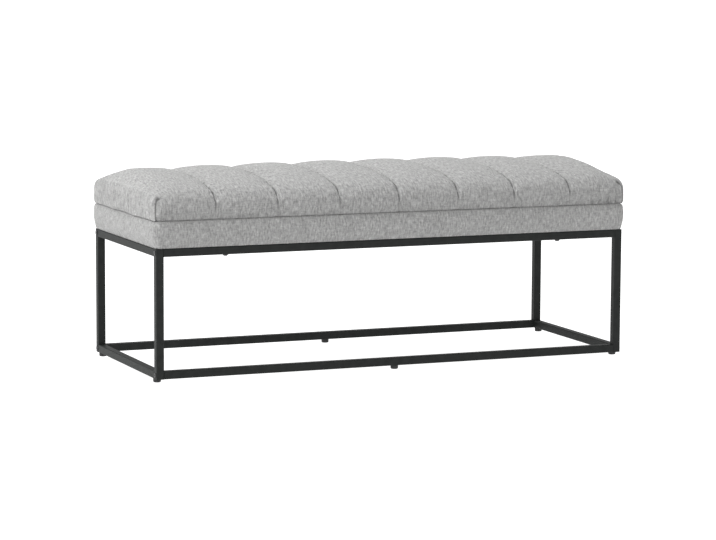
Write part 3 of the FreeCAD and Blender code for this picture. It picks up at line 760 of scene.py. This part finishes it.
def coverColumns(rise, reach, fallShare, fall):
    # Columns from the middle seam to the right end's root, for every row at once:
    # across and out, and whether a column is a seam. A channel is
    # out = sewn line + rise * (1 - q * q) ** ridgePower, q from -1 to 1 over it.
    # After the last ridge the channel falls by drop * share ** endPower, then come a
    # corner arc that turns to the vertical and the flat side straight to the root.
    phase = np.arange(cover["perChannel"]) / cover["perChannel"]
    phase = phase - cover["nearSeams"] * np.sin(2 * np.pi * phase) / (2 * np.pi)
    half = cover["channels"] // 2
    ridgeX = halfLength - channelPitch / 2
    x = (np.arange(half)[:, None] + phase[None, :]).ravel() * channelPitch
    x = x[x < ridgeX - 1e-6]
    q = 2 * ((x / channelPitch) % 1) - 1
    isSeam = np.isclose((x / channelPitch) % 1, 0)
    sewn = reach[:, None] - fallShare[:, None] * (x[None, :] / halfLength) ** 2
    out = sewn + rise[:, None] * (1 - q**2)[None, :] ** cover["ridgePower"]
    across = np.broadcast_to(x, out.shape)

    end = halfLength + cover["endSwell"]
    top = reach - fallShare * (ridgeX / halfLength) ** 2 + rise
    width = end - ridgeX
    corner, power = cover["cornerRound"], cover["endPower"]
    slope = np.arctan(fall / width)
    for _ in range(20):  # settles the fall's slope where the corner arc takes over
        run = width - corner * (1 - np.sin(slope))
        drop = fall - corner * np.cos(slope)
        slope = np.arctan(power * drop / run)
    countLong, countCorner, countFlat = cover["endColumns"]
    share = (np.arange(countLong) / countLong)[None, :]
    longX = ridgeX + run[:, None] * share
    longOut = top[:, None] - drop[:, None] * share**power
    share = (np.arange(countCorner) / countCorner)[None, :]
    angle = slope[:, None] + (math.pi / 2 - slope)[:, None] * share
    cornerX = end - corner * (1 - np.sin(angle))
    flatTop = top - fall
    cornerOut = flatTop[:, None] + corner * np.cos(angle)
    share = np.linspace(0, 1, countFlat)[None, :]
    flatOut = flatTop[:, None] * (1 - share)
    across = np.hstack([across, longX, cornerX, np.full_like(flatOut, end)])
    out = np.hstack([out, longOut, cornerOut, flatOut])
    isSeam = np.concatenate([isSeam, np.zeros(sum(cover["endColumns"]), bool)])
    return across, out, isSeam


def finer(grid):
    # A grid with a point put between each two, in both ways. The new point is
    # (9 * (a + b) - (before + after)) / 16, and (a + b) / 2 at the ends.
    for axis in (0, 1):
        points = np.moveaxis(grid, axis, 0)
        between = (points[:-1] + points[1:]) / 2
        between[1:-1] = (9 * (points[1:-2] + points[2:-1]) - points[:-3] - points[3:]) / 16
        made = np.empty((2 * len(points) - 1, *points.shape[1:]))
        made[::2] = points
        made[1::2] = between
        grid = np.moveaxis(made, 0, axis)
    return grid


def ripple(place, waves):
    # Uneven gathers: the sum of depth * cos(2 pi place / length + start), over its waves
    return sum(
        depth * np.cos(2 * math.pi * place / length + start) for length, depth, start in waves
    )


def coverCloth():
    # The cloth above the border seam, pressed out and held at its seams, as a grid.
    # A row is root + outward * out across the bench. Flat holds, for each point, the
    # distance along its row, along the sewn line, place across and sewn height.
    roots, y, height, rise, fall, along = coverStations()
    outward = np.stack([y - roots, height], 1)
    reach = np.linalg.norm(outward, axis=1)
    outward = outward / reach[:, None]
    fallShare = cover["crownFall"] * height / cover["middle"][0]
    across, out, isSeam = coverColumns(rise, reach, fallShare, fall)
    # Mirror the right half to the left: columns run from the left root to the right root
    across = np.hstack([-across[:, :0:-1], across])
    out = np.hstack([out[:, :0:-1], out])
    isSeam = np.concatenate([isSeam[:0:-1], isSeam])
    rows, columns = across.shape
    shell = np.stack([
        across,
        roots[:, None] + outward[:, :1] * out,
        seamZ + outward[:, 1:] * out,
    ], -1)
    # Hand-sewn seams are a little off their even places
    half = cover["channels"] // 2
    seamX = channelPitch * np.arange(-half, half + 1)
    shell[..., 0] += np.interp(across, seamX, [0, *cover["seamShifts"], 0])

    draft = newPiece(
        "draft", shell.reshape(-1, 3), gridFaces(rows, columns), finishes["woven_fabric"]
    )
    held = np.zeros((rows, columns), bool)
    held[[0, -1]] = held[:, [0, -1]] = held[:, isSeam] = True
    _, countCorner, countFlat = cover["endColumns"]
    held[:, countFlat - 1:countFlat + countCorner] = True
    held[:, -countFlat - countCorner:1 - countFlat] = True
    inflate(draft, held.ravel(), cover)
    shell = readPoints(draft.data).reshape(rows, columns, 3)
    bpy.data.objects.remove(draft)

    steps = np.linalg.norm(np.diff(shell, axis=1), axis=2)
    distance = np.hstack([np.zeros((rows, 1)), np.cumsum(steps, axis=1)])
    distance = distance - distance[:, columns // 2][:, None]
    flat = np.stack(
        np.broadcast_arrays(distance, along[:, None], across, height[:, None]), -1
    )
    return finer(shell), finer(flat)


def outwardNormals(shell):
    # Cross product of the grid's two directions, turned away from the seat's middle
    normal = np.cross(np.gradient(shell, axis=1), np.gradient(shell, axis=0))
    normal /= np.maximum(np.linalg.norm(normal, axis=2), 1e-12)[:, :, None]
    middle = np.array([0, 0, seamZ])
    return normal * np.sign(((shell - middle) * normal).sum(2).mean())


def toNearerEnd(shell):
    # Distance along each row to its nearer end
    fromLeft = np.linalg.norm(np.diff(shell, axis=1, prepend=shell[:, :1]), axis=2)
    fromRight = np.linalg.norm(np.diff(shell, axis=1, append=shell[:, -1:]), axis=2)
    left = np.cumsum(fromLeft, axis=1)
    right = np.cumsum(fromRight[:, ::-1], axis=1)[:, ::-1]
    return np.minimum(left, right)


def sewCover(shell, flat):
    # Draws the cloth in along its normals at the seams, and paints shade into the colour along
    # each seam line.
    # Every groove is depth * exp(-(distance / width) ** 2).
    distance, sewnAlong, across, height = np.moveaxis(flat, -1, 0)
    normal = outwardNormals(shell)
    inward = np.zeros(distance.shape)
    crease = np.zeros(distance.shape)
    fromMiddle = np.abs(across)

    # Channel seams, weakest at the border
    isTop = rising(halfLength - cover["topInset"] - fromMiddle, cover["topFade"])
    away = np.abs(across - channelPitch * np.round(across / channelPitch))
    growth = (height - cover["seamStart"]) / cover["seamGrowth"]
    depth = np.clip(growth, cover["seamLeast"], 1) * isTop
    inward += cover["seamDepth"] * depth * bell(away, cover["seamWidth"])
    # Painted shade along the channel seams, weaker higher up
    shade = np.clip((cover["shadeTop"] - height) / cover["shadeFade"], *cover["shadeRange"])
    crease += depth * shade * bell(away, cover["seamShade"])

    # Pulls beside the channel seams and gathers above the border seam
    wander = ripple(distance, cover["wander"])
    beside = bell(away - cover["pullAway"], cover["pullWidth"]) * isTop
    beside = beside * rising(height, cover["pullGrowth"])
    turn = 2 * math.pi * (sewnAlong + wander) / cover["pullPitch"]
    inward += cover["pull"] * beside * (0.5 + 0.5 * np.cos(turn))
    fromBorder = np.minimum(sewnAlong, sewnAlong[-1, 0] - sewnAlong)
    fade = rising(fromBorder, cover["gatherStart"]) * np.exp(-fromBorder / cover["gatherReach"])
    fromRightEnd = distance - halfLength + cover["gatherEndInset"]
    rightEnd = 1 + cover["gatherEnd"] * bell(fromRightEnd, cover["gatherEndWidth"])
    gather = fade * rightEnd * (ripple(distance, cover["gathers"]) + cover["gatherDepth"])
    gather = gather * rising(halfLength - cover["gatherMargin"] - fromMiddle, cover["gatherFade"])
    inward += gather
    # Painted shade in the gathers' hollows
    crease += cover["gatherShade"] * np.clip(gather, 0, None) / cover["gatherDepth"]

    # Border seam: the cloth drawn in to it over the last few millimetres
    fromEdge = np.minimum(fromBorder, toNearerEnd(shell))
    inward += cover["tuckIn"] * bell(fromEdge, cover["tuckReach"])
    shell = shell - normal * inward[:, :, None]

    # Corner seams: a groove in the plane at 45 degrees through each corner, where
    # aside = ((|x| - cornerX) - (|y| - cornerY)) / sqrt 2 is nought, with a small tuck on top
    cornerX = np.abs(shell[..., 0]).max()
    cornerY = np.abs(shell[:cover["cornerRows"], :, 1]).max()
    outX, outY = np.abs(shell[..., 0]) - cornerX, np.abs(shell[..., 1]) - cornerY
    aside = (outX - outY) / math.sqrt(2)
    above = shell[..., 2] - seamZ
    top, cornerFade = cover["cornerSeamTop"], cover["cornerFade"]
    near = rising(cover["cornerReach"] + outX + outY, cornerFade) * rising(top - above, cornerFade)
    groove = near * bell(aside, cover["cornerSeamWidth"])
    # Painted shade along the corner seams
    crease += near * bell(aside, cover["seamShade"])
    fromTip = np.sqrt(aside**2 + (above - top) ** 2)
    tuck = rising(cover["tuckCornerReach"] + outX + outY, cornerFade)
    tuck = tuck * bell(fromTip, cover["tuckSize"])
    # Painted shade at the corner tucks
    crease += cover["tuckShade"] * tuck**2
    depth = cover["cornerSeamDepth"] * groove + cover["tuckDepth"] * tuck
    shell = shell - normal * depth[:, :, None]
    # Painted shade along the border seam and at the row ends
    crease += cover["borderShade"] * bell(fromEdge, cover["seamShade"])
    return shell, np.clip(crease, 0, 1)


def makeCover():
    # The sewn cloth, closed underneath: from the border seam in to the core's
    # outline, up round the core, and a ceiling over it
    shell, flat = coverCloth()
    _, sewnAlong, across, _ = np.moveaxis(flat, -1, 0)
    flatSide = halfLength + cover["endSwell"]
    turned = rising(np.abs(across) - flatSide + cover["turnInset"], cover["turnWidth"])
    grain = np.stack([across, sewnAlong, turned * turned * (3 - 2 * turned)], -1)
    shell, crease = sewCover(shell, flat)

    rows, columns = across.shape
    grid = np.arange(rows * columns).reshape(rows, columns)
    loop = np.concatenate([grid[0, :-1], grid[:-1, -1], grid[-1, :0:-1], grid[:0:-1, 0]])
    rim = shell.reshape(-1, 3)[loop]
    core = rim * np.array([
        (halfLength - cover["coreInset"]) / np.abs(rim[:, 0]).max(),
        (halfDepth - cover["coreInset"]) / np.abs(rim[:, 1]).max(),
        1,
    ])
    ceiling = core + np.array([0, 0, cover["coreHeight"]])
    centre = np.array([[0, 0, seamZ + cover["coreHeight"]]])
    points = np.vstack([shell.reshape(-1, 3), core, ceiling, centre])
    count = len(loop)
    here, after = np.arange(count), np.roll(np.arange(count), -1)
    low = rows * columns  # the core's first point
    high = low + count  # the ceiling's
    under = np.stack([loop, loop[after], low + after, low + here], -1)
    wall = np.stack([low + here, low + after, high + after, high + here], -1)
    roof = np.stack([high + here, high + after, np.full(count, high + count)], -1)
    faces = [*gridFaces(rows, columns).tolist(), *under.tolist(), *wall.tolist(), *roof.tolist()]
    hidden = 2 * count + 1
    grain = np.vstack([grain.reshape(-1, 3), np.zeros((hidden, 3))])
    grain[low:high] = grain[loop]
    # Painted shade: the hidden underside, wall and ceiling get the darkest painted shade
    crease = np.concatenate([crease.ravel(), np.ones(hidden)])
    piece = newPiece(
        "channelCover", points, faces, finishes["woven_fabric"], grain=grain, crease=crease
    )
    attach(piece, "bench")
    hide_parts("channel_cover")


# Border band

band = {
    # Share of the way up from the hem to the seam, swell past the frame
    "outline": [
        (0.0, -0.0006),
        (0.02, 0.0006),
        (0.10, 0.0024),
        (0.25, 0.0042),
        (0.45, 0.0058),
        (0.67, 0.0064),
        (0.85, 0.0056),
        (0.94, 0.0040),
        (0.985, 0.0014),
        (1.0, -0.0012),
    ],
    "cornerInset": 0.011,  # the outline's corner centres inside the frame's corner
    "leastRound": 0.003,
    "rows": 22,
    "hemRows": 5,
    "hemInset": 0.031,
    "hemEnd": 0.004,
    "hemThickness": 0.0012,
    "boardInset": 0.0015,
    "boardThickness": 0.015,
    "slabInset": 0.008,
    "dustThickness": 0.0006,
    "clearance": 0.0001,
    "step": 0.0065,
    "cornerColumns": 7,
    "grainShifts": (1.7, 3.1),  # so that no two sides show the same threads
    "seamDepth": 0.0007,
    "seamWidth": 0.003,
    # Cloth simulation
    "pressure": 1.5,
    "slack": 0.006,
    "furthest": 0.003,
}


def bandProfile():
    # Two chains of the same length, outer and inner, as inset from the frame's
    # outline and height: the hem's underside and the face outside; the hem's top,
    # the board's edge and the foam's side inside
    hemZ = frameTop + band["dustThickness"]
    boardZ = hemZ + band["hemThickness"]
    boardTop = boardZ + band["boardThickness"]
    hemRows = band["hemRows"]
    shares, swells = np.array(band["outline"]).T
    share = np.linspace(0, 1, band["rows"])
    face = np.stack([-np.interp(share, shares, swells), hemZ + share * (seamZ - hemZ)], 1)
    hemRun = np.linspace(band["hemInset"], band["hemEnd"], hemRows)
    outer = np.vstack([np.stack([hemRun, np.full(hemRows, hemZ)], 1), face])
    gap = band["clearance"]
    corners = np.array([
        (band["hemInset"], boardZ - gap),
        (band["boardInset"] - gap, boardZ - gap),
        (band["boardInset"] - gap, boardTop + gap),
        (band["slabInset"] - gap, boardTop + gap),
        (band["slabInset"] - gap, seamZ),
    ])
    lengths = runLengths(corners)
    # Each inner point stands opposite its outer one: the hem's, then the wall's
    hemPart = np.linspace(0, lengths[1], hemRows + 1)[:hemRows]
    run = np.concatenate([hemPart, np.linspace(lengths[1], lengths[-1], band["rows"])])
    for corner in (2, 3):  # the wall's nearest points go to the board's top corners
        run[hemRows + np.argmin(np.abs(run[hemRows:] - lengths[corner]))] = lengths[corner]
    inner = np.stack([np.interp(run, lengths, corners[:, k]) for k in (0, 1)], 1)
    return outer, inner


def bandSide(name, node, alongX, sign):
    # One side: the profile carried from mitre to mitre along the frame's outline,
    # an eighth of a circle at each corner and straight between
    outer, inner = bandProfile()
    chain = np.vstack([outer, inner[::-1]])
    inset, z = chain.T
    centre = np.maximum(band["cornerInset"], inset + band["leastRound"])
    radius = centre - inset
    halfRun, halfOut = (halfLength, halfDepth) if alongX else (halfDepth, halfLength)
    straight = 2 * (halfRun - band["cornerInset"])
    middle = np.linspace(-1, 1, int(straight / band["step"]) + 1)
    turns = np.linspace(math.pi / 4, 0, band["cornerColumns"])[:-1]
    angle = np.concatenate([-turns, np.zeros(len(middle)), turns[::-1]])
    ends = np.ones(len(turns))
    place = np.concatenate([-ends, middle, ends])
    run = (halfRun - centre)[:, None] * place[None, :]
    run = run + radius[:, None] * np.sin(angle)[None, :]
    out = (halfOut - centre)[:, None] + radius[:, None] * np.cos(angle)[None, :]
    height = np.broadcast_to(z[:, None], run.shape)
    shape = np.stack([run, sign * out, height] if alongX else [sign * out, run, height], -1)
    rows, columns = run.shape
    sideShift, axisShift = band["grainShifts"]
    grain = np.stack([
        run + sideShift * sign + (axisShift if alongX else 0),
        np.broadcast_to(runLengths(chain)[:, None], run.shape),
        np.zeros(run.shape),
    ], -1)
    count = len(outer)
    pair = np.arange(count - 1)
    faces = gridFaces(rows, columns, wrapRows=True).tolist()
    for column in (0, columns - 1):
        cap = np.stack([pair, pair + 1, rows - 2 - pair, rows - 1 - pair], -1)
        faces += (cap * columns + column).tolist()
    piece = newPiece(
        name, shape.reshape(-1, 3), faces, finishes["woven_fabric"], grain=grain.reshape(-1, 3)
    )
    face = slice(band["hemRows"] + 1, count - 1)
    held = np.ones((rows, columns), bool)
    held[face, 1:-1] = False
    inflate(piece, held.ravel(), band)
    # Corner seam: the face's end columns drawn in by depth * exp(-(distance / width) ** 2)
    points = readPoints(piece.data).reshape(rows, columns, 3)
    for edge in (0, -1):
        away = np.linalg.norm(points[face] - points[face, edge][:, None, :], axis=2)
        draw = band["seamDepth"] * bell(away, band["seamWidth"])
        corner = np.sign(points[face, edge][:, None, :2].mean(0, keepdims=True))
        points[face, :, :2] -= corner * draw[:, :, None] / math.sqrt(2)
    writePoints(piece, points.reshape(-1, 3))
    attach(piece, "bench")
    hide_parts(node)


# Foam, dust cover and stems

foam = {
    "round": 0.004,
    "roundRows": 6,
    "corner": 0.010,
    "cornerColumns": 6,
    "clearance": 0.0002,
}


def ringStack(rings, cornerColumns):
    # Level rounded rectangles one above the other: rings of half length, half
    # depth, corner radius and height, with a pole in the middle of both ends.
    # A corner's point is side * (half - radius) + radius * (cos a, sin a).
    quarter = math.pi / 2
    corner = np.repeat(np.arange(4), cornerColumns)
    angle = np.concatenate([
        np.linspace(0, quarter, cornerColumns) + turn * math.pi / 2 for turn in range(4)
    ])
    signX = np.array([1, -1, -1, 1])[corner]
    signY = np.array([1, 1, -1, -1])[corner]
    halfX, halfY, radius, height = np.moveaxis(np.array(rings)[:, None, :], -1, 0)
    x = signX * (halfX - radius) + radius * np.cos(angle)
    y = signY * (halfY - radius) + radius * np.sin(angle)
    points = np.stack(np.broadcast_arrays(x, y, height), -1)
    rows, columns = x.shape
    points = points.reshape(-1, 3)
    poles = np.array([[0, 0, points[0, 2]], [0, 0, points[-1, 2]]])
    here = np.arange(columns)
    after = (here + 1) % columns
    last = (rows - 1) * columns  # the top ring's first point
    pole = np.full(columns, rows * columns)
    low = np.stack([after, here, pole], -1)
    high = np.stack([here + last, after + last, pole + 1], -1)
    sides = gridFaces(rows, columns, wrapColumns=True)
    return np.vstack([points, poles]), [*sides.tolist(), *low.tolist(), *high.tolist()]


def foamBlock(name, node):
    # A cut foam block: its edges rounded as inset = r * (1 - sin a), rise = r * (1 - cos a)
    low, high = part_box(node)
    gap = foam["clearance"]
    angle = np.linspace(0, math.pi / 2, foam["roundRows"])
    inset = foam["round"] * (1 - np.sin(angle))
    lift = foam["round"] * (1 - np.cos(angle))
    base = [
        (high.x - gap - i, high.y - gap - i, foam["corner"] - gap - i, low.z + gap + r)
        for i, r in zip(inset, lift)
    ]
    top = [(a, b, r, high.z + low.z - z) for a, b, r, z in base[::-1]]
    points, faces = ringStack(base + top, foam["cornerColumns"])
    piece = newPiece(name, points, faces, finishes["foam"])
    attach(piece, "bench")
    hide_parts(node)


dust = {
    "step": 0.008,
    "thickness": 0.0005,
    "sag": 0.0009,
    "pull": 0.0007,
    "pitch": 0.0566,
    "pullStart": 0.015,
    "pullReach": 0.06,
    "edgeFade": 0.02,
}


def makeDustCover():
    # A flat sheet that hangs a little between its staples: sag * (1 - p**4) * (1 - q**4),
    # with shallow pulls from each staple, pull * cos of the place along the edge,
    # dying away with the distance from it
    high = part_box("dust_cover")[1]
    halfX, halfY = high.x, high.y
    x = np.linspace(-halfX, halfX, int(2 * halfX / dust["step"]))[None, :]
    y = np.linspace(-halfY, halfY, int(2 * halfY / dust["step"]))[:, None]
    p, q = x / halfX, y / halfY
    sag = dust["sag"] * (1 - p**4) * (1 - q**4)
    fromX, fromY = halfX - np.abs(x), halfY - np.abs(y)
    pulls = 0
    for run, away in ((x, fromY), (y, fromX)):
        fade = rising(away, dust["pullStart"]) * np.exp(-away / dust["pullReach"])
        pulls = pulls + np.cos(2 * math.pi * run / dust["pitch"]) * fade
    inner = rising(np.minimum(fromX, fromY), dust["edgeFade"])
    z = high.z - dust["thickness"] / 2 - sag - dust["pull"] * (1 + pulls) / 2 * inner
    points = np.stack(np.broadcast_arrays(x, y, z), -1)
    rows, columns = z.shape
    piece = newPiece(
        "dustCover", points.reshape(-1, 3), gridFaces(rows, columns), finishes["dust_cloth"]
    )
    solid = piece.modifiers.new("thickness", "SOLIDIFY")
    solid.thickness = dust["thickness"]
    solid.offset = 0
    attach(piece, "bench")
    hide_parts("dust_cover")


thread = {
    "pitch": 0.001,
    "major": 0.00293,
    "minor": 0.00245,
    "columns": 24,
    "perTurn": 6,
    "runOut": 1.2,  # the thread grows from its ends at this slope
    "runOutInset": 0.0002,
    "headHeight": 0.0024,
    "neck": 0.0012,
    "edge": 0.0003,
    "pole": 0.0001,
}


def makeStem(name, node, body):
    # The foot's stem: a flat head, a neck, and a thread whose radius is
    # minor + (major - minor) * ridge(z / pitch - angle / turn), the ridge a triangle wave
    low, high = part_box(node)
    centreX, centreY = (low.x + high.x) / 2, (low.y + high.y) / 2
    headRadius = (high.x - low.x) / 2
    headTop = low.z + thread["headHeight"]
    start = headTop + thread["neck"]
    end = high.z
    minor, edge, pole = thread["minor"], thread["edge"], thread["pole"]
    turns = (end - start) / thread["pitch"]
    z = np.linspace(start, end, int(turns * thread["perTurn"]) + 1)[:, None]
    angle = np.linspace(0, 2 * math.pi, thread["columns"], endpoint=False)[None, :]
    ridge = 1 - np.abs(2 * ((z / thread["pitch"] - angle / (2 * math.pi)) % 1) - 1)
    radius = minor + (thread["major"] - minor) * ridge
    fromEnds = np.minimum(end - z, z - start)
    radius = np.minimum(radius, minor - thread["runOutInset"] + fromEnds * thread["runOut"])
    headRings = np.array([
        (pole, low.z),
        (headRadius - edge, low.z),
        (headRadius, low.z + edge),
        (headRadius, headTop - edge),
        (headRadius - edge, headTop),
        (minor + edge, headTop),
        (minor, headTop + edge),
    ])
    even = np.ones_like(angle)
    allRadius = np.vstack([headRings[:, :1] * even, radius, pole * even])
    allZ = np.vstack([headRings[:, 1:], z, [[end]]]) * even
    x = centreX + allRadius * np.cos(angle)
    y = centreY + allRadius * np.sin(angle)
    rows, columns = allRadius.shape
    around = np.arange(columns)
    faces = gridFaces(rows, columns, wrapColumns=True).tolist()
    faces += [around[::-1].tolist(), ((rows - 1) * columns + around).tolist()]
    points = np.stack([x, y, allZ], -1).reshape(-1, 3)
    piece = newPiece(name, points, faces, finishes["plain_steel"])
    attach(piece, body)
    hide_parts(node)


def addFloor():
    # A flat square under the feet
    material, _, _ = newMaterial("floor", {
        "Base Color": studio["floorColour"],
        "Roughness": studio["floorRoughness"],
        "Emission Color": (1, 1, 1, 1),
        "Emission Strength": studio["floorGlow"],
    })
    half, height = studio["floorHalf"], studio["floorHeight"]
    corners = ((-1, -1), (1, -1), (1, 1), (-1, 1))
    points = np.array([(x * half, y * half, height) for x, y in corners])
    floor = newPiece("floor", points, [(0, 1, 2, 3)], material)


addCamera()
addLight()
addFloor()
print("camera, light and floor")
makeCover()
print("cover")
bandSide("borderBandFront", "border_band_front", True, -1)
bandSide("borderBandRear", "border_band_rear", True, 1)
bandSide("borderBandLeft", "border_band_left", False, -1)
bandSide("borderBandRight", "border_band_right", False, 1)
print("band")
foamBlock("foamSlab", "foam_slab")
foamBlock("foamCore", "foam_core")
makeDustCover()
for body in frame["bodies"]:
    if body.startswith("stem_"):
        words = body.split("_")[1:]
        makeStem("footStem" + "".join(word.capitalize() for word in words), "foot_" + body, body)
print("foam, dust cover and foot stems")
